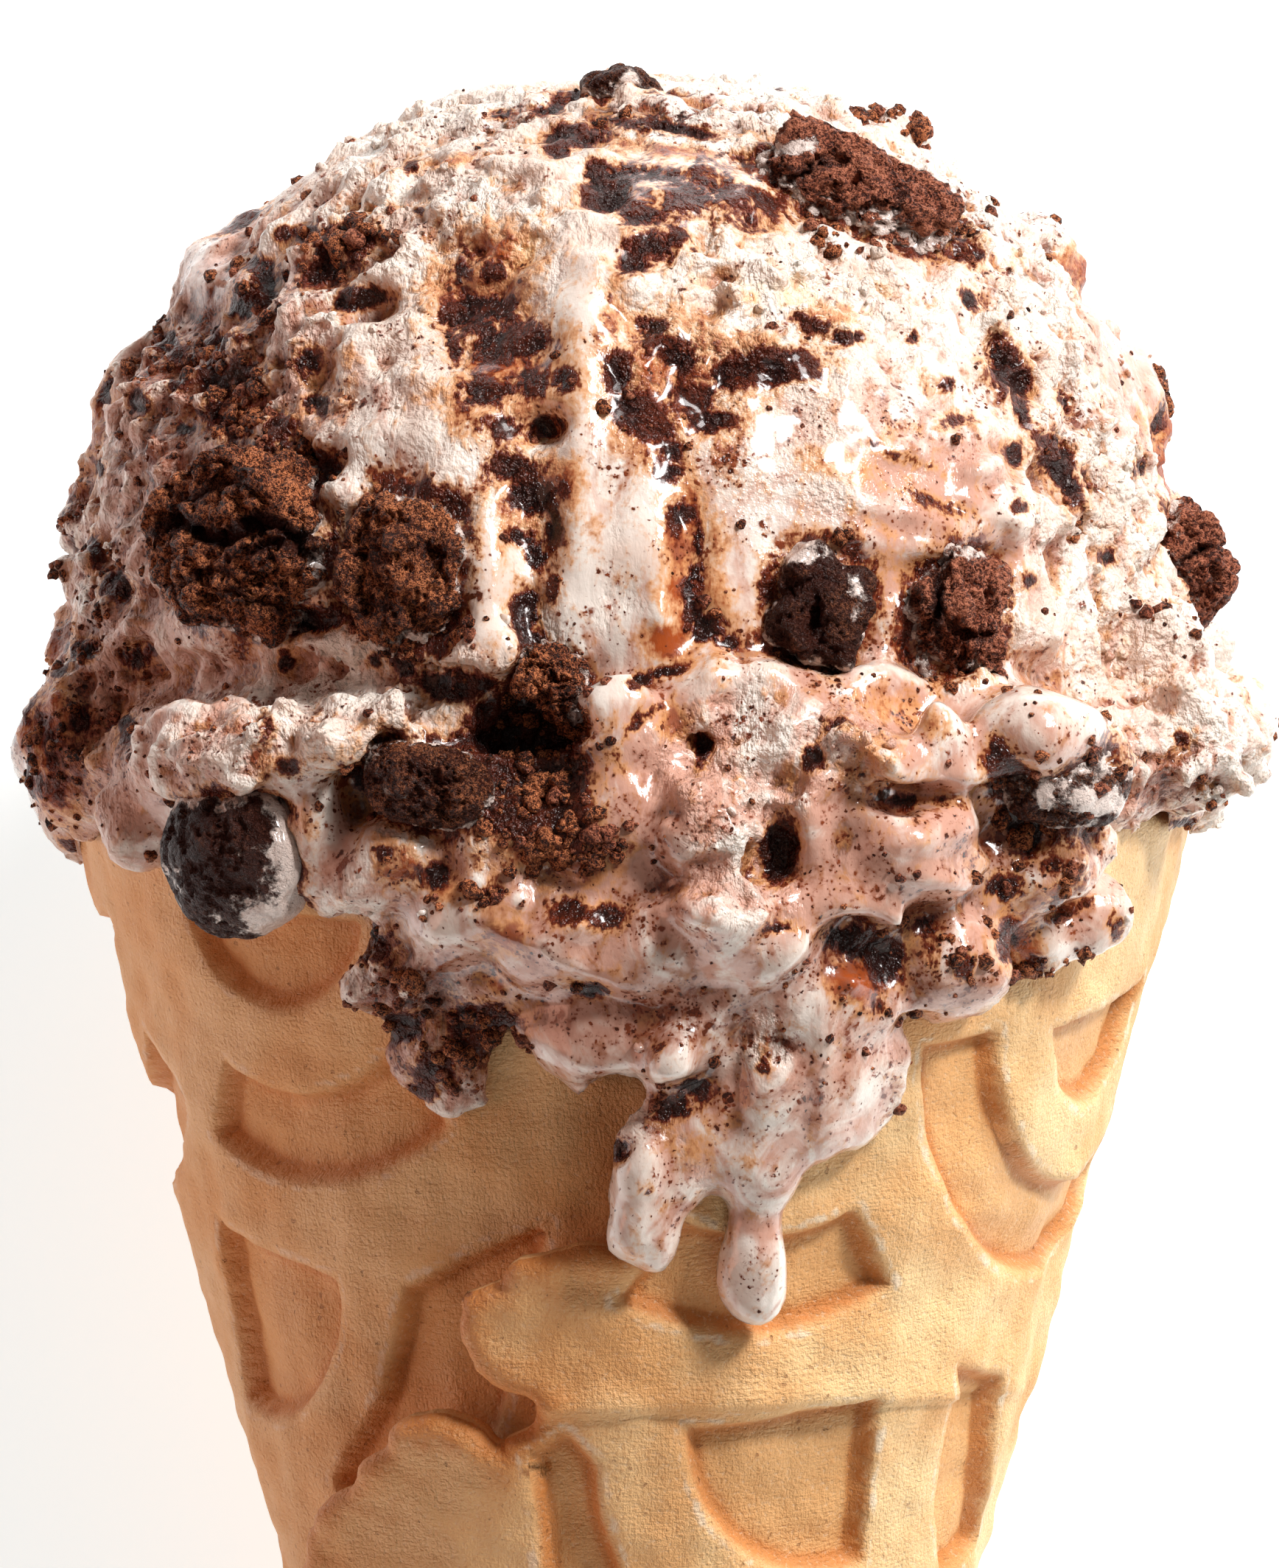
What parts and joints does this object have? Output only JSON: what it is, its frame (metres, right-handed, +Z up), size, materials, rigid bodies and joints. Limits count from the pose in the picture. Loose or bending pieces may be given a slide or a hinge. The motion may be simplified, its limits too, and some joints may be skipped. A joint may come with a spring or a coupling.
{
  "type": "ice cream cone with cookie and brownie pieces",
  "caption": "Scoop of pale ice cream with fudge, cookie and brownie pieces, melting over a rolled wafer cone that lies on its back.",
  "frame": {"origin": "middle of the bounding box, on the ground that it lies on", "axes": "+Z up, +Y from the cone's tip towards the top of the scoop; the side that is shown looks up"},
  "size_m": [0.0724, 0.1494, 0.0682],
  "materials": {
    "baked_wafer": "baked wafer, dull, toasted at its edges",
    "cookie_ice_cream": "ice cream, wet where it melts",
    "dark_cookie": "dark crumbly cookie, partly soaked",
    "brownie": "moist brownie crumb"
  },
  "bodies": {
    "root": {"wafer_cone": "baked_wafer", "ice_cream": "cookie_ice_cream", "cookie_round_left": "dark_cookie", "cookie_inner_left": "dark_cookie", "cookie_front_dark": "dark_cookie", "cookie_hanging_left": "dark_cookie", "cookie_front_low": "dark_cookie", "cookie_lower_right": "dark_cookie", "cookie_top": "dark_cookie", "cookie_back_left": "dark_cookie", "cookie_back_top": "dark_cookie", "brownie_top_right": "brownie", "brownie_front_right": "brownie", "brownie_right_edge": "brownie", "brownie_small_front": "brownie", "brownie_back_right": "brownie"}
  },
  "joints": []
}
